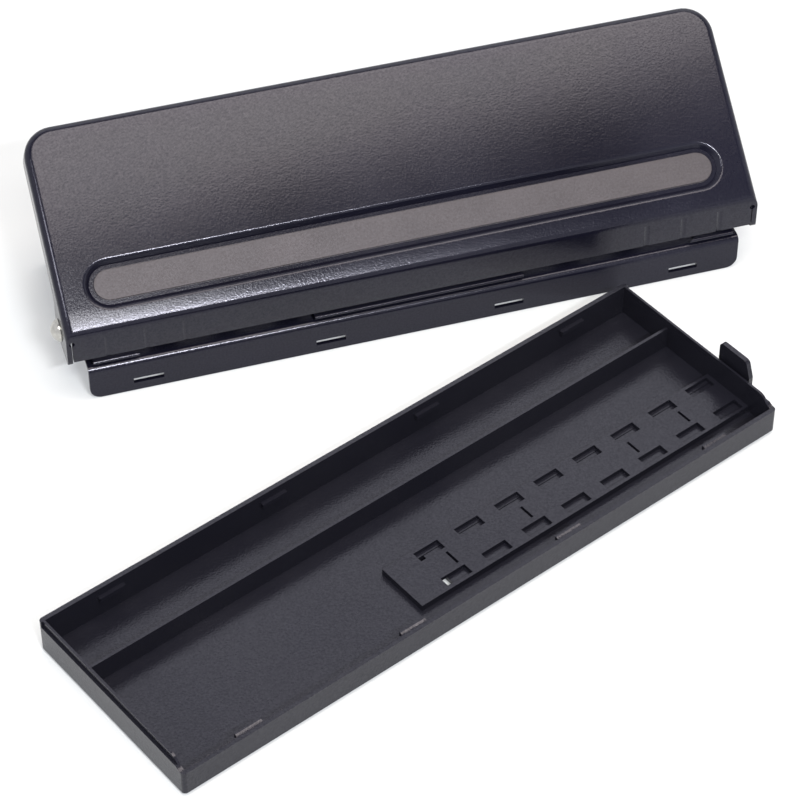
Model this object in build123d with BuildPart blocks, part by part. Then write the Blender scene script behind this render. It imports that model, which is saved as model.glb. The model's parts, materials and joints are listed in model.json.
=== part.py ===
from build123d import *
import os
from math import acos, cos, degrees, radians, sin, tan

# Six-hole desk punch in pressed steel. A full-width lever plate is riveted to two cheeks on the base
# and drives six sprung pins. The moulded chip tray is unclipped and lies in front of the punch,
# turned a little, with its sliding paper guide pushed in.
#
# X runs along the punch, +Y to the rear and Z up. The origin is on the table under the middle of
# the front flange. Lengths are in millimetres.

os.makedirs("parts", exist_ok=True)

# --- Sheet metal ---------------------------------------------------------------------------------
base_sheet = 1.2
jaw_sheet = 1.0
cheek_sheet = 1.5
cover_sheet = 1.5
bar_sheet = 1.5

# --- Base frame ----------------------------------------------------------------------------------
base_length = 200.0
base_depth = 61.2
base_height = 11.5
base_bend = 1.8
base_corner = 3.5
slot_length = 9.0
slot_height = 1.8
slot_rise = 3.7
slot_pitch = 55.0

# --- Hole pattern, throat and punch pins ---------------------------------------------------------
pin_pitch = 19.0
middle_pitch = 70.0
pin_back = 25.0
pin_diameter = 6.0
paper_margin = 6.0
paper_gap = 1.0
jaw_back = 0.5
jaw_edge_share = 0.45
jaw_foot_play = 0.3
jaw_rivet_near = 22.0
jaw_rivet_far = 76.0
window_inner = 32.0
window_straight = 50.0
window_depth = 10.4
window_round = 5.5
jaw_foot = 9.0
block_height = 4.0
block_width = 12.0
block_margin = 6.0
block_corner = 1.5
block_bevel = 0.4
die_height = 2.0
pin_tip_rise = 0.3
pin_head_diameter = 9.0
pin_head_height = 1.8
pin_bevel = 0.3
pin_fit = 0.05
tip_radius = 4.4
tip_hollow = 1.0
spring_wire = 0.7
spring_turns = 4.0
spring_clearance = 0.35
spring_play = 0.15

# --- Lever ---------------------------------------------------------------------------------------
cover_length = 211.0
cover_depth = 62.0
cover_slope = 36.0
cover_bend = 2.5
cover_corner = 9.0
cover_rim = 8.0
skirt_back = 1.0
skirt_rise = 14.8
cover_corner_rise = 25.0
relief_width = 0.3
relief_radius = 0.8
ear_round = 1.4
pivot_back = 11.0
pivot_rise = 19.0
lobe_radius = 5.5
lobe_blend = 4.0
recess_length = 194.0
recess_width = 14.5
recess_floor_width = 9.0
recess_depth = 1.6
recess_up = 12.9
recess_taper = 42.0
recess_shoulder = 1.2
recess_island = 0.5
island_round = 0.2
crease_count = 3
crease_inset = 12.0
crease_pitch = 11.5
crease_width = 1.8
crease_depth = 0.25
bar_length = 158.0
bar_nose = 3.0
bar_back = 11.4
nose_rise = 12.5
bar_gap = 0.15
bar_front_web = 3.0
bar_flange = 9.0

# --- Pivots and rivets ---------------------------------------------------------------------------
pivot_diameter = 5.0
pivot_head_diameter = 7.0
pivot_head_height = 2.5
pivot_fit = 0.05
pivot_foot_diameter = 7.0
pivot_foot_height = 1.2
bush_diameter = 9.0
bush_bevel = 0.3
side_play = 0.15
rivet_diameter = 3.0
rivet_head_diameter = 5.4
rivet_head_height = 1.1
rivet_head_bevel = 0.6
rivet_foot_diameter = 4.4
rivet_foot_height = 0.8
rivet_fit = 0.02
cheek_foot_gap = 1.6
cheek_foot_width = 12.0
cheek_foot_length = 17.0
cheek_rear_height = 5.0
cheek_play = 0.2

# --- Chip tray -----------------------------------------------------------------------------------
tray_length = 210.0
tray_wall = 1.4
tray_floor = 1.5
tray_fit = 0.5
tray_rim = 11.6
tray_front_rim = 8.8
tray_shoulder = 6.5
tray_lower_edge = 0.9
rim_step = 0.7
rim_step_height = 2.0
rim_step_stop = 1.4
punch_seat = 4.6
lug_length = 8.4
lug_height = 1.5
lug_depth = 1.3
divider_back = 44.5
divider_wall = 0.9
divider_rim = 8.6
tray_turn = 22.4
tray_corner_left = 109.1
tray_corner_ahead = 149.3
tray_corner_round = 1.2

# --- Paper guide ---------------------------------------------------------------------------------
guide_width = 12.6
guide_thickness = 1.3
guide_front = 12.0
guide_rise = 0.9
guide_play = 0.15
guide_length = 112.0
guide_stop_top = 17.0
guide_stop_wall = 1.5
guide_stop_lean = 1.8
guide_stop_gap = 0.2
guide_stop_round = 1.5
channel_length = 123.0
platform_border = 2.2
channel_roof = 1.2
window_count = 8
window_pitch = 14.5
window_length = 8.5
window_width = 3.6
window_end = 5.7
hook_length = 6.0
hook_reach = 1.1
hook_height = 0.7
detent_length = 5.0
detent_width = 0.8
detent_shares = (0.23, 2.09, 4.85, 6.2)

# --- Places that follow from those sizes ---------------------------------------------------------
front = -base_sheet / 2
pin_y = front + pin_back
jaw_under = base_height + paper_gap
jaw_top = jaw_under + jaw_sheet
block_top = jaw_top + block_height
plate_under = base_height - base_sheet
die_under = plate_under - die_height
paper_stop = pin_y + paper_margin
pivot_y = front + pivot_back
pivot_z = pivot_rise
skirt_y = front + skirt_back
slope = radians(cover_slope)
nose_y = pivot_y + bar_back
pin_sides = (-1, 1)
pin_offsets = (0, 1, 2)
slot_steps = (-3, -1, 1, 3)
cheek_rivet_shares = (0.25, 0.75)
pin_inner = middle_pitch / 2
block_inner = pin_inner - block_margin
block_length = 2 * (pin_pitch + block_margin)
block_middle = block_inner + block_length / 2
tray_depth = base_depth + 2 * (tray_fit + tray_wall)
cheek_outer = base_length / 2
cheek_inner = cheek_outer - cheek_sheet
ear_outer = cover_length / 2
ear_inner = ear_outer - cover_sheet


def save(part, name):
    """Labels a finished piece and writes its file."""
    part.label = name
    export_step(part, f"parts/{name}.step")


def side_name(side):
    return "left" if side < 0 else "right"


def pin_places():
    """X of the six pins, from left to right."""
    inner = [pin_inner + step * pin_pitch for step in pin_offsets]
    return sorted([side * x for side in pin_sides for x in inner])


def half_dome(head_diameter, head_height):
    """Half the section of a domed head, for turning about its own upright axis."""
    radius = (head_diameter**2 / 4 + head_height**2) / (2 * head_height)
    half_angle = degrees(acos((radius - head_height) / radius))
    with BuildSketch() as half:
        with BuildLine():
            Line((0, 0), (0, head_height))
            CenterArc((0, head_height - radius), radius, 90 - half_angle, half_angle)
            Line((head_diameter / 2, 0), (0, 0))
        make_face()
    return half.sketch


def rivet(length, set_head):
    """A rivet with a bevelled head above z = 0 and its shank below, flush or with a set head."""
    upward = (Align.CENTER, Align.CENTER, Align.MIN)
    downward = (Align.CENTER, Align.CENTER, Align.MAX)
    with BuildPart() as one:
        Cylinder(rivet_head_diameter / 2, rivet_head_height, align=upward)
        chamfer(one.edges().group_by(Axis.Z)[-1], rivet_head_bevel)
        Cylinder(rivet_diameter / 2, length, align=downward)
        if set_head:
            with Locations((0, 0, -length)):
                Cylinder(rivet_foot_diameter / 2, rivet_foot_height, align=downward)
    return one.part


# --- Base frame: an open-ended channel with a flange along its front and its rear ----------------
foot_y = paper_stop + jaw_sheet
cheek_foot_y = foot_y + cheek_foot_gap
jaw_rivet_y = foot_y + (jaw_foot - jaw_sheet) / 2
jaw_rivet_xs = (jaw_rivet_near, jaw_rivet_far)
jaw_rivet_places = [(side * x, jaw_rivet_y) for side in pin_sides for x in jaw_rivet_xs]
cheek_rivet_x = cheek_outer - cheek_foot_width / 2 - cheek_sheet / 2
cheek_rivet_ys = [cheek_foot_y + share * cheek_foot_length for share in cheek_rivet_shares]
cheek_rivet_places = [(side * cheek_rivet_x, y) for side in pin_sides for y in cheek_rivet_ys]
block_rivet_offsets = [pin_inner + (step + 0.5) * pin_pitch for step in pin_offsets[:-1]]


def block_rivet_places(side):
    return [(side * x, pin_y) for x in block_rivet_offsets]


pin_holes = [(x, pin_y) for x in pin_places()]
pin_hole_radius = pin_diameter / 2 + pin_fit
rivet_hole_radius = rivet_diameter / 2 + rivet_fit
both_block_rivets = block_rivet_places(-1) + block_rivet_places(1)
slot_places = [(step * slot_pitch / 2, slot_rise) for step in slot_steps]

with BuildPart() as base_frame:
    with BuildSketch(Plane.YZ):
        with Locations((front, 0)):
            Rectangle(base_depth, base_height, align=(Align.MIN, Align.MIN))
        with Locations((front + base_sheet, 0)):
            Rectangle(
                base_depth - 2 * base_sheet,
                plate_under,
                align=(Align.MIN, Align.MIN),
                mode=Mode.SUBTRACT,
            )
    extrude(amount=base_length / 2, both=True)
    fillet(base_frame.edges().filter_by(Axis.X).group_by(Axis.Z)[-1], base_bend)
    inner_bends = base_frame.edges().filter_by(Axis.X).filter_by_position(
        Axis.Z, plate_under - rivet_fit, plate_under + rivet_fit
    )
    fillet(inner_bends, base_bend - base_sheet)
    fillet(base_frame.edges().filter_by(Axis.Y).group_by(Axis.Z)[0], base_corner)
    with BuildSketch(Plane.XZ):
        with Locations(*slot_places):
            Rectangle(slot_length, slot_height)
    extrude(amount=2 * base_depth, both=True, mode=Mode.SUBTRACT)
    with BuildSketch(Plane.XY.offset(base_height)):
        with Locations(*pin_holes):
            Circle(pin_hole_radius)
        with Locations(*(jaw_rivet_places + cheek_rivet_places + both_block_rivets)):
            Circle(rivet_hole_radius)
    extrude(amount=-2 * base_sheet, mode=Mode.SUBTRACT)
save(base_frame.part, "base_frame")

# --- Throat plate: the upper jaw, stepped down behind the paper stop to its riveted foot ----------
jaw_front = front + jaw_back
window_end_y = jaw_front + window_depth - window_round
jaw_half = cheek_inner - cheek_play
jaw_foot_half = cheek_outer - cheek_foot_width - jaw_foot_play

with BuildPart() as throat_plate:
    with BuildSketch(Plane.YZ):
        with BuildLine():
            Polyline(
                (jaw_front, jaw_under),
                (paper_stop, jaw_under),
                (paper_stop, base_height),
                (foot_y + jaw_foot, base_height),
                (foot_y + jaw_foot, base_height + jaw_sheet),
                (foot_y, base_height + jaw_sheet),
                (foot_y, jaw_top),
                (jaw_front, jaw_top),
                close=True,
            )
        make_face()
    extrude(amount=jaw_half, both=True)
    front_edges = throat_plate.edges().filter_by(Axis.X).group_by(Axis.Y)[0]
    fillet(front_edges, jaw_sheet * jaw_edge_share)
    with BuildSketch(Plane.XY.offset(base_height)):
        for side in pin_sides:
            with Locations((side * window_inner, jaw_front + window_depth)):
                Rectangle(
                    window_straight,
                    2 * window_depth,
                    align=(Align.MIN if side > 0 else Align.MAX, Align.MAX),
                )
            with Locations((side * (window_inner + window_straight), window_end_y)):
                Circle(window_round)
            with Locations((side * jaw_foot_half, paper_stop)):
                Rectangle(base_length, base_depth, align=(Align.MIN if side > 0 else Align.MAX, Align.MIN))
        with Locations(*pin_holes):
            Circle(pin_hole_radius)
        with Locations(*(jaw_rivet_places + both_block_rivets)):
            Circle(rivet_hole_radius)
    extrude(amount=2 * (jaw_top - base_height), mode=Mode.SUBTRACT)
save(throat_plate.part, "throat_plate")

# --- Guide blocks above the throat and die plates under it, one pair for each group of pins -------
for side in pin_sides:
    holes = [(x, pin_y) for x in pin_places() if x * side > 0]
    with BuildPart() as guide_block:
        with BuildSketch(Plane.XY.offset(jaw_top)):
            with Locations((side * block_middle, pin_y)):
                RectangleRounded(block_length, block_width, block_corner)
            with Locations(*holes):
                Circle(pin_hole_radius, mode=Mode.SUBTRACT)
            with Locations(*block_rivet_places(side)):
                Circle(rivet_hole_radius, mode=Mode.SUBTRACT)
        extrude(amount=block_height)
        chamfer(guide_block.faces().sort_by(Axis.Z)[-1].outer_wire().edges(), block_bevel)
    save(guide_block.part, f"guide_block_{side_name(side)}")

    with BuildPart() as die_plate:
        with BuildSketch(Plane.XY.offset(die_under)):
            with Locations((side * block_middle, pin_y)):
                RectangleRounded(block_length, block_width, block_corner)
            with Locations(*holes):
                Circle(pin_hole_radius, mode=Mode.SUBTRACT)
            with Locations(*block_rivet_places(side)):
                Circle(rivet_hole_radius, mode=Mode.SUBTRACT)
        extrude(amount=die_height)
    save(die_plate.part, f"die_plate_{side_name(side)}")

# --- Side cheeks: each reaches forward over the open throat to its pivot --------------------------
for side in pin_sides:
    upright = Plane.YZ.offset(cheek_inner if side > 0 else -cheek_outer)
    with BuildPart() as side_cheek:
        with BuildSketch(upright):
            with Locations((pivot_y, pivot_z)):
                Circle(lobe_radius)
            with Locations((cheek_foot_y, base_height)):
                Rectangle(cheek_foot_length, cheek_rear_height, align=(Align.MIN, Align.MIN))
            make_hull()
            with Locations((cheek_foot_y, pivot_z - lobe_radius)):
                Rectangle(base_depth, base_height, align=(Align.MAX, Align.MAX), mode=Mode.SUBTRACT)
            with Locations((pivot_y, pivot_z)):
                Circle(pivot_diameter / 2 + rivet_fit, mode=Mode.SUBTRACT)
        extrude(amount=cheek_sheet)
        with BuildSketch(Plane.XY.offset(base_height)):
            with Locations((side * cheek_outer, cheek_foot_y)):
                Rectangle(
                    cheek_foot_width,
                    cheek_foot_length,
                    align=(Align.MAX if side > 0 else Align.MIN, Align.MIN),
                )
        extrude(amount=cheek_sheet)
        with BuildSketch(Plane.XY.offset(base_height)):
            with Locations(*[(side * cheek_rivet_x, y) for y in cheek_rivet_ys]):
                Circle(rivet_hole_radius)
        extrude(amount=cheek_sheet, mode=Mode.SUBTRACT)
    save(side_cheek.part, f"side_cheek_{side_name(side)}")

# --- Rivets of the frame, the guide blocks and the die plates -------------------------------------
jaw_rivet = rivet(jaw_sheet + base_sheet, set_head=True)
cheek_rivet = rivet(cheek_sheet + base_sheet, set_head=True)
with BuildPart() as frame_rivets:
    with Locations(*[(x, y, base_height + jaw_sheet) for x, y in jaw_rivet_places]):
        add(jaw_rivet)
    with Locations(*[(x, y, base_height + cheek_sheet) for x, y in cheek_rivet_places]):
        add(cheek_rivet)
save(frame_rivets.part, "frame_rivets")

block_rivet = rivet(block_height + jaw_sheet, set_head=False)
with BuildPart() as block_rivets:
    with Locations(*[(x, y, block_top) for x, y in both_block_rivets]):
        add(block_rivet)
save(block_rivets.part, "block_rivets")

die_rivet = rivet(die_height + base_sheet, set_head=False)
with BuildPart() as die_rivets:
    with Locations(*[Location((x, y, die_under), (180, 0, 0)) for x, y in both_block_rivets]):
        add(die_rivet)
save(die_rivets.part, "die_rivets")

# --- Pivot rivets with domed outer heads, and the bushes that space the lever from the cheeks -----
pivot_dome = half_dome(pivot_head_diameter, pivot_head_height)
for side in pin_sides:
    outward = Plane((0, pivot_y, pivot_z), x_dir=(0, 1, 0), z_dir=(side, 0, 0))
    head_plane = outward.offset(ear_outer + side_play)
    with BuildPart() as pivot_rivet:
        with BuildSketch(outward.offset(cheek_inner)):
            Circle(pivot_diameter / 2)
        extrude(amount=ear_outer + side_play - cheek_inner)
        with BuildSketch(outward.offset(cheek_inner)):
            Circle(pivot_foot_diameter / 2)
        extrude(amount=-pivot_foot_height)
        with BuildSketch(Plane(head_plane.origin, x_dir=(0, 1, 0), z_dir=(0, 0, -side))):
            add(pivot_dome)
        revolve(axis=Axis(head_plane.origin, (1, 0, 0)))
    save(pivot_rivet.part, f"pivot_rivet_{side_name(side)}")

    with BuildPart() as pivot_bush:
        with BuildSketch(outward.offset(cheek_outer + side_play)):
            Circle(bush_diameter / 2)
            Circle(pivot_diameter / 2 + pivot_fit, mode=Mode.SUBTRACT)
        extrude(amount=ear_inner - cheek_outer - 2 * side_play)
        chamfer(pivot_bush.edges().group_by(SortBy.LENGTH)[-1], bush_bevel)
    save(pivot_bush.part, f"pivot_bush_{side_name(side)}")

# --- Lever cover: one pressed shell with a sloping plate, rims, a front skirt and two ears --------
along = (cos(slope), sin(slope))
normal = (-sin(slope), cos(slope))


def on_plate(up, out):
    """A point of the Y-Z section: distance up the plate from its front corner, and out of its face."""
    return (
        skirt_y + up * along[0] + out * normal[0],
        cover_corner_rise + up * along[1] + out * normal[1],
    )


ear_bottom = pivot_z - lobe_radius
lobe_back = pivot_y + lobe_radius
rim_start = on_plate(0, -cover_rim)
lobe_top = (lobe_back, rim_start[1] + (lobe_back - rim_start[0]) * tan(slope))
void_drop = 2 * cover_depth
void_floor = on_plate(cover_depth - cover_sheet, -void_drop)[1]
void_corner = (skirt_y + cover_sheet, cover_corner_rise + cover_sheet * (tan(slope) - 1 / cos(slope)))
plate_plane = Plane(
    origin=(0, *on_plate(0, 0)), x_dir=(1, 0, 0), z_dir=(0, normal[0], normal[1])
)
plate_axis = Axis(plate_plane.origin, plate_plane.z_dir)
crease_top = cover_corner_rise - cover_bend

with BuildPart() as cover_void:
    with BuildSketch(Plane.YZ):
        with BuildLine():
            Polyline(
                (void_corner[0], void_floor),
                void_corner,
                on_plate(cover_depth - cover_sheet, -cover_sheet),
                on_plate(cover_depth - cover_sheet, -void_drop),
                close=True,
            )
        make_face()
    extrude(amount=ear_inner, both=True)
    far_corners = cover_void.edges().filter_by(plate_axis).sort_by(Axis.Y)[-2:]
    fillet(far_corners, cover_corner - cover_sheet)
    top_loop = cover_void.faces().sort_by(plate_axis)[-1].edges()
    fillet(top_loop, cover_bend - cover_sheet)

with BuildPart() as lever_cover:
    with BuildSketch(Plane.YZ):
        with BuildLine():
            Line((skirt_y, cover_corner_rise), (skirt_y, ear_bottom))
            Line((skirt_y, ear_bottom), (pivot_y, ear_bottom))
            CenterArc((pivot_y, pivot_z), lobe_radius, -90, 90)
            Line((lobe_back, pivot_z), lobe_top)
            Line(lobe_top, on_plate(cover_depth, -cover_rim))
            Line(on_plate(cover_depth, -cover_rim), on_plate(cover_depth, 0))
            Line(on_plate(cover_depth, 0), on_plate(0, 0))
        make_face()
    extrude(amount=ear_outer, both=True)
    far_corners = lever_cover.edges().filter_by(plate_axis).sort_by(Axis.Y)[-2:]
    fillet(far_corners, cover_corner)
    top_loop = lever_cover.faces().sort_by(plate_axis)[-1].edges()
    fillet(top_loop, cover_bend)
    ear_fronts = lever_cover.edges().filter_by(Axis.X).group_by(Axis.Y)[0].sort_by(Axis.Z)[0]
    fillet(ear_fronts, ear_round)
    lobe_bends = lever_cover.edges().filter_by(Axis.X).sort_by_distance((0, *lobe_top))[0]
    fillet(lobe_bends, lobe_blend)
    add(cover_void.part, mode=Mode.SUBTRACT)
    # The embossed recess: its raised back first, then the pocket with a low island for its floor.
    with BuildSketch(plate_plane.offset(-cover_sheet)):
        with Locations((0, recess_up)):
            SlotOverall(recess_length, recess_width)
    extrude(amount=-recess_depth, taper=recess_taper)
    with BuildSketch(plate_plane):
        with Locations((0, recess_up)):
            SlotOverall(recess_length, recess_width)
    extrude(amount=-recess_depth, taper=recess_taper, mode=Mode.SUBTRACT)
    recess_edge = lever_cover.faces().filter_by(plate_axis).sort_by(plate_axis)[-1].inner_wires()[0]
    fillet(recess_edge.edges(), recess_shoulder)
    with BuildSketch(plate_plane.offset(-recess_depth)):
        with Locations((0, recess_up)):
            SlotOverall(recess_length - recess_width + recess_floor_width, recess_floor_width)
    island = extrude(amount=recess_island)
    fillet(island.faces().sort_by(plate_axis)[-1].edges(), island_round)
    # The skirt ends above the ears and is parted from them by narrow reliefs.
    with BuildSketch(Plane.XZ.offset(-(skirt_y + cover_sheet))):
        Rectangle(2 * ear_inner, 2 * skirt_rise)
        for side in pin_sides:
            with Locations((side * ear_inner, 0)):
                Rectangle(
                    relief_width,
                    crease_top,
                    align=(Align.MAX if side > 0 else Align.MIN, Align.MIN),
                )
            with Locations((side * (ear_inner - relief_width / 2), crease_top - relief_radius)):
                Circle(relief_radius)
    extrude(amount=2 * cover_sheet, mode=Mode.SUBTRACT)
    # Shallow vertical creases near each end of the skirt.
    crease_radius = (crease_width**2 / 4 + crease_depth**2) / (2 * crease_depth)
    crease_xs = [ear_outer - crease_inset - step * crease_pitch for step in range(crease_count)]
    crease_y = skirt_y - crease_radius + crease_depth
    with BuildSketch(Plane.XY.offset(skirt_rise)):
        with Locations(*[(side * x, crease_y) for side in pin_sides for x in crease_xs]):
            Circle(crease_radius)
    extrude(amount=crease_top - skirt_rise, mode=Mode.SUBTRACT)
    with BuildSketch(Plane.YZ):
        with Locations((pivot_y, pivot_z)):
            Circle(pivot_diameter / 2 + pivot_fit)
    extrude(amount=cover_length, both=True, mode=Mode.SUBTRACT)
save(lever_cover.part, "lever_cover")

# --- Press bar: a folded strip under the plate whose rounded nose drives the pin heads ------------
nose_z = pivot_z + nose_rise
bar_mid = bar_nose - bar_sheet / 2
weld_y = nose_y + bar_mid
weld_up = (weld_y - on_plate(0, -cover_sheet - bar_sheet / 2)[0]) / along[0]
weld_point = on_plate(weld_up, -cover_sheet - bar_sheet / 2)

with BuildPart() as press_bar:
    with BuildSketch(Plane.YZ):
        with BuildLine() as fold:
            Line((nose_y - bar_mid, nose_z + bar_front_web), (nose_y - bar_mid, nose_z))
            CenterArc((nose_y, nose_z), bar_mid, 180, 180)
            Line((weld_y, nose_z), weld_point)
            Line(weld_point, on_plate(weld_up + bar_flange, -cover_sheet - bar_sheet / 2))
            offset(amount=bar_sheet / 2, kind=Kind.INTERSECTION, side=Side.BOTH, closed=True)
        make_face()
    extrude(amount=bar_length / 2, both=True)
save(press_bar.part, "press_bar")

# --- Six punch pins and their springs -------------------------------------------------------------
head_top = nose_z - bar_nose - bar_gap
head_under = head_top - pin_head_height
pin_tip = jaw_under + pin_tip_rise
coil_radius = pin_diameter / 2 + spring_clearance + spring_wire / 2
coil_bottom = block_top + spring_play + spring_wire / 2
coil_height = head_under - block_top - 2 * spring_play - spring_wire

for number, x in enumerate(pin_places(), start=1):
    with BuildPart() as punch_pin:
        with BuildSketch(Plane.XY.offset(pin_tip)):
            with Locations((x, pin_y)):
                Circle(pin_diameter / 2)
        extrude(amount=head_under - pin_tip)
        with BuildSketch(Plane.XY.offset(head_under)):
            with Locations((x, pin_y)):
                Circle(pin_head_diameter / 2)
        extrude(amount=pin_head_height)
        chamfer(punch_pin.edges().group_by(Axis.Z)[-1], pin_bevel)
        # The hollow-ground tip leaves two cutting points.
        with BuildSketch(Plane.YZ.offset(x)):
            with Locations((pin_y, pin_tip - tip_radius + tip_hollow)):
                Circle(tip_radius)
        extrude(amount=pin_diameter, both=True, mode=Mode.SUBTRACT)
    save(punch_pin.part, f"punch_pin_{number}")

    with BuildPart() as pin_spring:
        with BuildLine() as coil:
            Helix(coil_height / spring_turns, coil_height, coil_radius, center=(x, pin_y, coil_bottom))
        with BuildSketch(Plane(origin=coil.line @ 0, z_dir=coil.line % 0)):
            Rectangle(spring_wire, spring_wire)
        sweep(is_frenet=True)
    save(pin_spring.part, f"pin_spring_{number}")

# --- Chip tray, in its own frame: X along it, Y from its front wall and Z up from its underside ---
tray_plane = Plane(
    origin=(-tray_corner_left, front - tray_corner_ahead, 0),
    x_dir=(cos(radians(tray_turn)), sin(radians(tray_turn)), 0),
    z_dir=(0, 0, 1),
)
corner = (Align.MIN, Align.MIN, Align.MIN)
guide_top = guide_rise + guide_thickness + guide_play
platform_top = guide_top + channel_roof
channel_front = guide_front - guide_play
channel_rear = guide_front + guide_width + guide_play
channel_start = tray_length - channel_length
platform_front = channel_front - platform_border
platform_rear = channel_rear + platform_border
window_rows = (channel_front + hook_reach / 2, channel_rear - hook_reach / 2)
last_window = tray_length - tray_wall - window_end
window_xs = [last_window - step * window_pitch for step in range(window_count)]
row_middle = (channel_front + channel_rear) / 2
detent_xs = [window_xs[-1] + share * window_pitch for share in detent_shares]
lug_z = punch_seat + slot_rise - lug_height / 2
lug_xs = [tray_length / 2 + step * slot_pitch / 2 for step in slot_steps]

with BuildPart(tray_plane) as chip_tray:
    Box(tray_length, tray_depth, tray_rim, align=corner)
    fillet(chip_tray.edges().filter_by(Axis.Z), tray_corner_round)
    chamfer(chip_tray.faces().sort_by(Axis.Z)[0].edges(), tray_lower_edge)
    with Locations((tray_wall, tray_wall, tray_floor)):
        Box(
            tray_length - 2 * tray_wall,
            tray_depth - 2 * tray_wall,
            tray_rim,
            align=corner,
            mode=Mode.SUBTRACT,
        )
    # The raised platform over the guide channel, and the divider wall.
    with Locations((channel_start, platform_front, tray_floor)):
        Box(
            channel_length - tray_wall,
            platform_rear - platform_front,
            platform_top - tray_floor,
            align=corner,
        )
    with Locations((tray_wall, divider_back, tray_floor)):
        Box(tray_length - 2 * tray_wall, divider_wall, divider_rim - tray_floor, align=corner)
    # The channel is open below and through the right end wall.
    with Locations((channel_start + channel_roof, channel_front, 0)):
        Box(channel_length, channel_rear - channel_front, guide_top, align=corner, mode=Mode.SUBTRACT)
    with BuildSketch(tray_plane.offset(guide_top)):
        with Locations(*[(x, y) for x in window_xs for y in window_rows]):
            Rectangle(window_length, window_width)
        with Locations(*[(x, row_middle) for x in detent_xs]):
            Rectangle(detent_width, detent_length)
    extrude(amount=tray_rim, mode=Mode.SUBTRACT)
    # Hooks under the windows hold the guide rule up in its channel.
    with Locations(*[(x, channel_front, 0) for x in window_xs]):
        Box(hook_length, hook_reach, hook_height, align=(Align.CENTER, Align.MIN, Align.MIN))
    with Locations(*[(x, channel_rear, 0) for x in window_xs]):
        Box(hook_length, hook_reach, hook_height, align=(Align.CENTER, Align.MAX, Align.MIN))
    # Lugs on both long walls snap into the slots of the base flanges.
    with Locations(*[(x, tray_wall, lug_z) for x in lug_xs]):
        Box(lug_length, lug_depth, lug_height, align=(Align.CENTER, Align.MIN, Align.MIN))
    with Locations(*[(x, tray_depth - tray_wall, lug_z) for x in lug_xs]):
        Box(lug_length, lug_depth, lug_height, align=(Align.CENTER, Align.MAX, Align.MIN))
    # The rims of the end walls are stepped in from outside, up to the rear wall.
    for end in (0, tray_length - rim_step):
        with Locations((end, -tray_wall, tray_rim - rim_step_height)):
            Box(
                rim_step,
                tray_depth - rim_step_stop + tray_wall,
                tray_rim,
                align=corner,
                mode=Mode.SUBTRACT,
            )
    # The front wall is lower, and the end walls step down to it over a rounded shoulder.
    with BuildSketch(Plane(tray_plane.origin, x_dir=tray_plane.y_dir, z_dir=tray_plane.x_dir)):
        with BuildLine():
            step = tray_rim - tray_front_rim
            Line((-tray_wall, 2 * tray_rim), (-tray_wall, tray_front_rim))
            Line((-tray_wall, tray_front_rim), (tray_shoulder - 2 * step, tray_front_rim))
            TangentArc(
                (tray_shoulder - 2 * step, tray_front_rim),
                (tray_shoulder - step, tray_front_rim + step / 2),
                tangent=(1, 0),
            )
            TangentArc(
                (tray_shoulder, tray_rim),
                (tray_shoulder - step, tray_front_rim + step / 2),
                tangent=(-1, 0),
            )
            Line((tray_shoulder, tray_rim), (tray_shoulder, 2 * tray_rim))
            Line((tray_shoulder, 2 * tray_rim), (-tray_wall, 2 * tray_rim))
        make_face()
    extrude(amount=tray_length, mode=Mode.SUBTRACT)
save(chip_tray.part, "chip_tray")

# --- Paper guide: a flat rule under the tray's floor with an upright stop outside its end ---------
stop_x = tray_length + guide_stop_gap
stop_face = Plane(
    tray_plane.origin + tray_plane.x_dir * stop_x, x_dir=tray_plane.y_dir, z_dir=tray_plane.x_dir
)
guide_rear = guide_front + guide_width

with BuildPart(tray_plane) as paper_guide:
    with Locations((stop_x + guide_stop_wall, guide_front, guide_rise)):
        Box(guide_length, guide_width, guide_thickness, align=(Align.MAX, Align.MIN, Align.MIN))
    with BuildSketch(stop_face):
        with BuildLine():
            Polyline(
                (guide_front, guide_rise),
                (guide_rear, guide_rise),
                (guide_rear, guide_stop_top),
                (guide_front + guide_stop_lean, guide_stop_top),
                (guide_front, tray_rim),
                close=True,
            )
        make_face()
    extrude(amount=guide_stop_wall)
    stop_corners = paper_guide.edges().filter_by(Axis(stop_face.origin, stop_face.z_dir))
    fillet(stop_corners.group_by(Axis.Z)[-1], guide_stop_round)
save(paper_guide.part, "paper_guide")
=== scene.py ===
import json
import math

import bmesh
import bpy
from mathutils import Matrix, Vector


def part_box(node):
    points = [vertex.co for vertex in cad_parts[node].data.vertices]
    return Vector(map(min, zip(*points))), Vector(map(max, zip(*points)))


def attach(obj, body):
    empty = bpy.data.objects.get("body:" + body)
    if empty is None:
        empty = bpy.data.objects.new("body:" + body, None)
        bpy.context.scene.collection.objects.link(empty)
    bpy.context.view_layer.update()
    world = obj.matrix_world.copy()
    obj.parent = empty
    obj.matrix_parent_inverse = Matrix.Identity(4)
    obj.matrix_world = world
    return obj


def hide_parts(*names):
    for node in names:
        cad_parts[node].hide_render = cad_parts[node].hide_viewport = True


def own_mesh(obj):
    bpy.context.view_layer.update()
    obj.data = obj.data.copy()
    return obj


# Looks of a six-hole desk punch with its unclipped chip tray: satin black paint on pressed steel,
# bright rivets and pins, and semi-gloss black plastic. Metres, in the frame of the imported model.

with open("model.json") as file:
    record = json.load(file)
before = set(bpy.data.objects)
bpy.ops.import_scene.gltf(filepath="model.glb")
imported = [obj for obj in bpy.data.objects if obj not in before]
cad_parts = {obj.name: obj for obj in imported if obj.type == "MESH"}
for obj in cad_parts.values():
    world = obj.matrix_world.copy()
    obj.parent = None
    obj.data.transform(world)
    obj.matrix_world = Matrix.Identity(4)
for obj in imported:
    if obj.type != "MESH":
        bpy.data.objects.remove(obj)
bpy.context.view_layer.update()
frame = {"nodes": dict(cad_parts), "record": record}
nodes = frame["nodes"]
slots = {entry["node"]: entry["material_slot"] for entry in frame["record"]["subparts"]}


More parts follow.
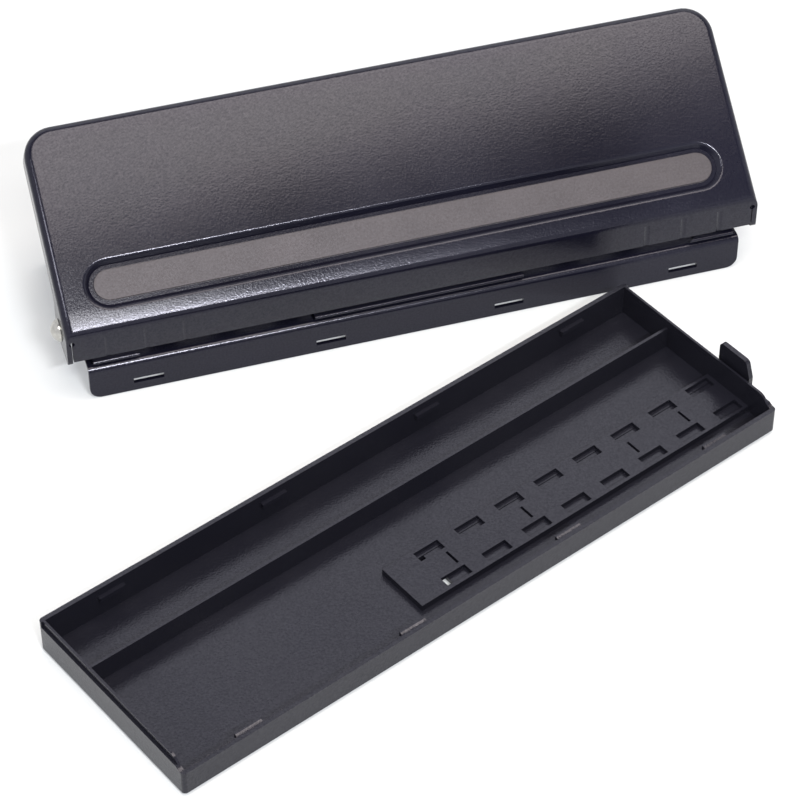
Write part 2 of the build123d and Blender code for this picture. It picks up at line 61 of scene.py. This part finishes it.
# --- Node helpers ---------------------------------------------------------------------------------
class Look:
    """A procedural material: its Principled shader and short calls for the nodes that feed it."""

    def __init__(self, name):
        self.material = bpy.data.materials.new(name)
        self.material.use_nodes = True
        self.tree = self.material.node_tree
        self.shader = self.tree.nodes["Principled BSDF"]
        self.coords = self.tree.nodes.new("ShaderNodeTexCoord").outputs["Object"]

    def node(self, kind, **settings):
        made = self.tree.nodes.new("ShaderNode" + kind)
        for key, value in settings.items():
            setattr(made, key, value)
        return made

    def put(self, socket, value):
        """Links another node's output to the socket, or sets the socket's own value."""
        if isinstance(value, bpy.types.NodeSocket):
            self.tree.links.new(value, socket)
        else:
            socket.default_value = value

    def feed(self, node, **inputs):
        """Puts values into inputs by name, with underscores for spaces."""
        for key, value in inputs.items():
            self.put(node.inputs[key.replace("_", " ")], value)
        return node

    def noise(self, scale, detail=3.0, roughness=0.5, distortion=0.0, vector=None):
        """Cloudy noise from 0 to 1, with its scale in features per metre."""
        made = self.node("TexNoise")
        self.feed(made, Scale=scale, Detail=detail, Roughness=roughness, Distortion=distortion)
        self.feed(made, Vector=vector or self.coords)
        return made.outputs["Fac"]

    def stretched(self, scale):
        return self.feed(self.node("Mapping"), Vector=self.coords, Scale=scale).outputs["Vector"]

    def ramp(self, fac, low, high, at=(0.3, 0.7)):
        """The colour low below the first limit, high above the last, and a fade between them."""
        made = self.node("ValToRGB")
        first, last = made.color_ramp.elements
        first.position, last.position = at
        first.color = shade(low)
        last.color = shade(high)
        self.feed(made, Fac=fac)
        return made.outputs["Color"]

    def spread(self, fac, low, high, at=(0.3, 0.7)):
        """Maps a value between the two limits to the range low to high."""
        made = self.node("MapRange")
        self.feed(made, Value=fac, From_Min=at[0], From_Max=at[1], To_Min=low, To_Max=high)
        return made.outputs["Result"]

    def math(self, operation, a, b=0.0):
        made = self.node("Math", operation=operation)
        self.put(made.inputs[0], a)
        self.put(made.inputs[1], b)
        return made.outputs[0]

    def times(self, a, b):
        return self.math("MULTIPLY", a, b)

    def blend(self, fac, a, b):
        """The colour a where fac is 0, and b where it is 1."""
        made = self.node("Mix", data_type="RGBA")
        # The node lists its sockets for numbers and vectors before those for colours.
        fac_input, colour_a, colour_b = made.inputs[0], made.inputs[6], made.inputs[7]
        self.put(fac_input, fac)
        self.put(colour_a, a)
        self.put(colour_b, b)
        return made.outputs[2]

    def bump(self, height, strength=1.0, distance=1.0, under=None):
        """Normals of a relief, which may lie on top of another relief's normals."""
        made = self.node("Bump")
        self.feed(made, Height=height, Strength=strength, Distance=distance)
        if under is not None:
            self.feed(made, Normal=under)
        return made.outputs["Normal"]


def shade(value):
    """A grey from one number, or a colour from three, with full alpha."""
    if isinstance(value, (int, float)):
        return (value, value, value, 1.0)
    return (*value, 1.0)


# --- Finish of the paint and the plastic ----------------------------------------------------------
dark_paint = (0.0030, 0.0030, 0.0065)
pale_paint = [channel * 1.5 for channel in dark_paint]
dark_label = (0.0305, 0.0262, 0.0275)
pale_label = (0.038, 0.0328, 0.0345)
dark_plastic = (0.0048, 0.0048, 0.0078)
pale_plastic = (0.0078, 0.0078, 0.0112)
reflection_tint = (0.86, 0.86, 1.0, 1.0)
gloss_low, gloss_high = 0.24, 0.42
paint_smooth, paint_rough = 0.16, 0.21
label_dullness = 0.34


def grainy_gloss(look, grain):
    """Bluish reflections that are weaker where the grain is low."""
    look.feed(
        look.shader,
        Specular_IOR_Level=look.spread(grain, gloss_low, gloss_high),
        Specular_Tint=reflection_tint,
    )


def satin_paint(look, under=None):
    """Gives the shader the relief and gloss of satin paint, and returns its colour and roughness."""
    grain = look.noise(scale=1700, detail=2.0, roughness=0.6)
    peel = look.noise(scale=520, detail=2.0)
    cloud = look.noise(scale=22)
    peeled = look.bump(peel, strength=0.18, distance=0.00004, under=under)
    grainy_gloss(look, grain)
    look.feed(look.shader, Normal=look.bump(grain, strength=0.38, distance=0.00008, under=peeled))
    return look.ramp(cloud, dark_paint, pale_paint), look.spread(cloud, paint_smooth, paint_rough)


def powder_paint():
    """Satin black paint: a soft orange peel under a fine grain, and a little cloudiness."""
    look = Look("satin_black_paint")
    painted, roughness = satin_paint(look)
    look.feed(look.shader, Base_Color=painted, Roughness=roughness)
    return look.material


# --- The lever's paint ----------------------------------------------------------------------------
# The plate rises from its front corner, at y and z, with this slope and this length.
plate_slope = math.radians(36.0)
plate_corner = (0.0004, 0.025)
plate_run = 0.062

# The label place is the floor of the recess, an island with round ends. Its middle line lies this
# far up the plate and its floor this far under it. Its colour ends in an edge this wide, and fades
# between these two heights above the floor.
label_up = 0.0129
label_half_length = 0.09425
label_radius = 0.0047
label_floor = -0.0011
label_edge = 0.00012
label_floor_fade = (0.0002, 0.0004)

# The plate is pressed with a slight crown, which falls by this rate times the square of the
# distance from its middle, and with a front stretch that turns down to the bend at another rate.
crown_rate = 0.95
bend_reach = 0.0075
bend_rate = 7.0


def plate_axes(look):
    """How far a point lies along the lever, up its plate and out of its plate."""
    split = look.feed(look.node("SeparateXYZ"), Vector=look.coords)
    along, y, z = split.outputs
    ahead = look.math("SUBTRACT", y, plate_corner[0])
    rise = look.math("SUBTRACT", z, plate_corner[1])
    run, lift = math.cos(plate_slope), math.sin(plate_slope)
    up = look.math("ADD", look.times(ahead, run), look.times(rise, lift))
    out = look.math("SUBTRACT", look.times(rise, run), look.times(ahead, lift))
    return along, up, out


def label_place(look, along, up, out):
    """1 on the floor of the recess and 0 elsewhere."""
    straight = label_half_length - label_radius
    beyond = look.math("SUBTRACT", look.math("ABSOLUTE", along), straight)
    past_end = look.math("MAXIMUM", beyond, 0.0)
    off_line = look.math("SUBTRACT", up, label_up)
    squares = look.math("ADD", look.times(past_end, past_end), look.times(off_line, off_line))
    inside = look.spread(
        look.math("SQRT", squares), 1.0, 0.0, at=(label_radius - label_edge, label_radius)
    )
    deep = look.spread(out, 1.0, 0.0, at=[label_floor + above for above in label_floor_fade])
    return look.times(inside, deep)


def pressed_crown(look, up):
    """Normals of the plate's crown and of its turn toward the front bend."""
    before_bend = look.math("SUBTRACT", bend_reach, up)
    to_bend = look.math("MAXIMUM", before_bend, 0.0)
    off_middle = look.math("SUBTRACT", up, plate_run / 2)
    height = look.math(
        "ADD",
        look.times(look.times(to_bend, to_bend), -bend_rate),
        look.times(look.times(off_middle, off_middle), -crown_rate),
    )
    return look.bump(height)


def pressed_plate_paint():
    """The same paint on the lever, with the bare brown-grey label place on the recess's floor."""
    look = Look("satin_black_paint_with_label_place")
    along, up, out = plate_axes(look)
    painted, roughness = satin_paint(look, under=pressed_crown(look, up))
    place = label_place(look, along, up, out)
    brown = look.ramp(look.noise(scale=60), dark_label, pale_label)
    look.feed(
        look.shader,
        Base_Color=look.blend(place, painted, brown),
        Roughness=look.math("ADD", roughness, look.times(place, label_dullness)),
    )
    return look.material


# --- Plastic and bare steel -----------------------------------------------------------------------
def moulded_plastic():
    """Semi-gloss moulding: a fine spark grain, faint flow marks and rubbed patches."""
    look = Look("moulded_black_plastic")
    grain = look.noise(scale=1500, detail=2.0, roughness=0.6)
    flow = look.noise(scale=16, detail=4.0, roughness=0.6, distortion=0.4)
    rubbed = look.noise(scale=45, detail=4.0, roughness=0.65)
    smooth, rough = 0.16, 0.27
    grainy_gloss(look, grain)
    look.feed(
        look.shader,
        Base_Color=look.ramp(flow, dark_plastic, pale_plastic),
        Roughness=look.spread(rubbed, smooth, rough, at=(0.35, 0.7)),
        Normal=look.bump(grain, strength=0.7, distance=0.00009),
    )
    return look.material


def ground_steel():
    """Bare steel of the mechanism, with fine level tool marks."""
    look = Look("ground_steel")
    level, upright = 1500, 9000
    marks = look.stretched((level, level, upright))
    turned = look.noise(scale=1.0, roughness=0.6, vector=marks)
    dark_steel, pale_steel = 0.42, 0.56
    smooth, rough = 0.24, 0.38
    look.feed(
        look.shader,
        Base_Color=look.ramp(turned, dark_steel, pale_steel),
        Metallic=1.0,
        Roughness=look.spread(turned, smooth, rough),
        Normal=look.bump(turned, strength=0.08, distance=0.0001),
    )
    return look.material


def plated_steel():
    """Plated rivets with a slightly yellow, spotted sheen."""
    look = Look("plated_rivet_steel")
    spots = look.noise(scale=700, roughness=0.6)
    dark_plating, pale_plating = (0.40, 0.395, 0.37), (0.54, 0.53, 0.50)
    smooth, rough = 0.16, 0.28
    look.feed(
        look.shader,
        Base_Color=look.ramp(spots, dark_plating, pale_plating),
        Metallic=1.0,
        Roughness=look.spread(spots, smooth, rough),
        Normal=look.bump(spots, strength=0.05, distance=0.0001),
    )
    return look.material


def dress(node, material):
    mesh = nodes[node].data
    mesh.materials.clear()
    mesh.materials.append(material)


finishes = {
    "black_paint": powder_paint(),
    "black_plastic": moulded_plastic(),
    "steel": ground_steel(),
    "bright_steel": plated_steel(),
}
for node, slot in slots.items():
    dress(node, finishes[slot])
dress("lever_cover", pressed_plate_paint())


# --- Return springs: round wire with closed ends --------------------------------------------------
pin_count = 6
wire_diameter = 0.0007
spring_turns = 6.0
closed_turns = 0.6
ring_points = 10
steps_per_turn = 28
upward = Vector((0.0, 0.0, 1.0))


def wire_ring(mesh, turned, centre_line, radius):
    """The points of one ring of the wire, where it has turned this far along its helix."""
    angle = 2 * math.pi * turned
    outward = Vector((math.cos(angle), math.sin(angle), 0.0))
    centre = centre_line + outward * radius
    ring = []
    for point in range(ring_points):
        around = 2 * math.pi * point / ring_points
        reach = outward * math.cos(around) + upward * math.sin(around)
        ring.append(mesh.verts.new(centre + reach * (wire_diameter / 2)))
    return ring


def wire_spring(name, low, high):
    """A closed tube along a helix that fills the box of the spring's solid."""
    foot = Vector(((low[0] + high[0]) / 2, (low[1] + high[1]) / 2, low[2] + wire_diameter / 2))
    radius = (high[0] - low[0] - wire_diameter) / 2
    rise = high[2] - low[2] - wire_diameter
    steps = int(spring_turns * steps_per_turn)
    mesh = bmesh.new()
    rings = []
    for step in range(steps + 1):
        turned = spring_turns * step / steps
        share = (turned - closed_turns) / (spring_turns - 2 * closed_turns)
        climbed = rise * min(max(share, 0.0), 1.0)
        rings.append(wire_ring(mesh, turned, foot + upward * climbed, radius))
    for near, far in zip(rings, rings[1:]):
        for point in range(ring_points):
            after = (point + 1) % ring_points
            mesh.faces.new((near[point], near[after], far[after], far[point])).smooth = True
    mesh.faces.new(rings[0])
    mesh.faces.new(rings[-1])
    bmesh.ops.recalc_face_normals(mesh, faces=mesh.faces)
    data = bpy.data.meshes.new(name)
    mesh.to_mesh(data)
    mesh.free()
    spring = bpy.data.objects.new(name, data)
    bpy.context.scene.collection.objects.link(spring)
    return spring


for number in range(1, pin_count + 1):
    node = f"pin_spring_{number}"
    low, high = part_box(node)
    spring = wire_spring(f"return_spring_{number}", low, high)
    spring.data.materials.append(finishes[slots[node]])
    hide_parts(node)
    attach(spring, "base")
    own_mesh(spring)


# --- Floor ----------------------------------------------------------------------------------------
floor_size = 12.0
floor_drop = 0.0002
dark_floor = (0.325, 0.335, 0.35)
pale_floor = (0.345, 0.355, 0.37)
floor_glow = (0.95, 0.97, 1.0, 1.0)


def studio_floor():
    """A pale matt floor just under the feet. Its own faint glow keeps the shadows light."""
    bpy.ops.mesh.primitive_plane_add(size=floor_size, location=(0, 0, -floor_drop))
    floor = bpy.context.object
    floor.name = "studio_floor"
    look = Look("pale_floor")
    mottle = look.noise(scale=3, detail=2.0)
    look.feed(
        look.shader,
        Base_Color=look.ramp(mottle, dark_floor, pale_floor),
        Roughness=0.7,
        Specular_IOR_Level=0.2,
        Emission_Color=floor_glow,
        Emission_Strength=0.28,
    )
    floor.data.materials.append(look.material)


studio_floor()


# --- Light ----------------------------------------------------------------------------------------
# The surround fades from one tone to the other between two heights of the direction looked in, and
# the fade leans by this share of how far back that direction points.
table_tone = (1.0, 1.0, 1.03, 1.0)
ceiling_tone = (0.16, 0.16, 0.19, 1.0)
fade_heights = (0.62, 0.8)
fade_lean = -0.25


def studio_world():
    """White surround near the table, dim overhead, so that only the soft boxes shine on the plate."""
    world = bpy.data.worlds.new("studio")
    world.use_nodes = True
    tree = world.node_tree
    coords = tree.nodes.new("ShaderNodeTexCoord")
    split = tree.nodes.new("ShaderNodeSeparateXYZ")
    ramp = tree.nodes.new("ShaderNodeValToRGB")
    tree.links.new(coords.outputs["Generated"], split.inputs["Vector"])
    leaned = tree.nodes.new("ShaderNodeMath")
    leaned.operation = "MULTIPLY_ADD"
    factor, multiplier, addend = leaned.inputs[:3]
    multiplier.default_value = fade_lean
    tree.links.new(split.outputs["Y"], factor)
    tree.links.new(split.outputs["Z"], addend)
    tree.links.new(leaned.outputs[0], ramp.inputs["Fac"])
    low, high = ramp.color_ramp.elements
    low.position, high.position = fade_heights
    low.color = table_tone
    high.color = ceiling_tone
    background = tree.nodes["Background"]
    background.inputs["Strength"].default_value = 1.0
    tree.links.new(ramp.outputs["Color"], background.inputs["Color"])
    bpy.context.scene.world = world


def soft_box(name, place, aim, size, power, colour=(1.0, 1.0, 1.0), spin=0.0):
    """A rectangular light that faces a point, spun about its own axis by some degrees."""
    data = bpy.data.lights.new(name, "AREA")
    data.shape = "RECTANGLE"
    data.size, data.size_y = size
    data.energy = power
    data.color = colour
    light = bpy.data.objects.new(name, data)
    light.location = place
    toward = Vector(aim) - Vector(place)
    light.rotation_euler = toward.to_track_quat("-Z", "Y").to_euler()
    light.rotation_euler.rotate_axis("Z", math.radians(spin))
    bpy.context.scene.collection.objects.link(light)


studio_world()

# The warm sheet of light that the plate mirrors.
soft_box(
    "overhead",
    place=(0.2, -0.08, 1.2),
    aim=(0.2, -0.08, 0.0),
    size=(1.1, 0.72),
    power=18.6,
    colour=(1.0, 0.915, 0.80),
    spin=16.0,
)
# The highlight low on the plate's left side.
soft_box(
    "front_key",
    place=(-0.11, -0.71, 0.965),
    aim=(-0.05, 0.0, 0.03),
    size=(0.34, 0.17),
    power=5.9,
    colour=(1.0, 1.0, 0.90),
)
# The bright line along the base's front bend.
soft_box(
    "edge_key",
    place=(0.06, -0.95, 0.92),
    aim=(-0.03, 0.0, 0.02),
    size=(0.24, 0.05),
    power=16.0,
)
# A little light on the left rivet and the lever's left edge.
soft_box(
    "left_side",
    place=(-0.78, -0.36, 0.9),
    aim=(0.05, 0.0, 0.03),
    size=(0.22, 0.22),
    power=3.4,
)
# The faint sheen on the tray's floor.
soft_box(
    "rear_panel",
    place=(0.3, 0.85, 0.95),
    aim=(0.0, -0.1, 0.0),
    size=(1.5, 0.8),
    power=2.9,
)
bpy.context.scene.view_settings.view_transform = "Standard"

# --- Camera ---------------------------------------------------------------------------------------
elevation = math.radians(44.71)
turn = math.radians(-16.72)
distance = 0.90715
focal_pixels = 3126.87
picture_pixels = 800
sensor_width_mm = 36.0
look_at = Vector((-0.0143, -0.0268, 0.0))
back = Vector(
    (
        math.sin(turn) * math.cos(elevation),
        -math.cos(turn) * math.cos(elevation),
        math.sin(elevation),
    )
)
camera_data = bpy.data.cameras.new("photo_camera")
camera_data.sensor_width = sensor_width_mm
camera_data.lens = sensor_width_mm * focal_pixels / picture_pixels
camera_data.clip_start = 0.05
camera = bpy.data.objects.new("photo_camera", camera_data)
camera.location = look_at + back * distance
camera.rotation_euler = (-back).to_track_quat("-Z", "Y").to_euler()
bpy.context.scene.collection.objects.link(camera)
bpy.context.scene.camera = camera

bpy.context.view_layer.update()
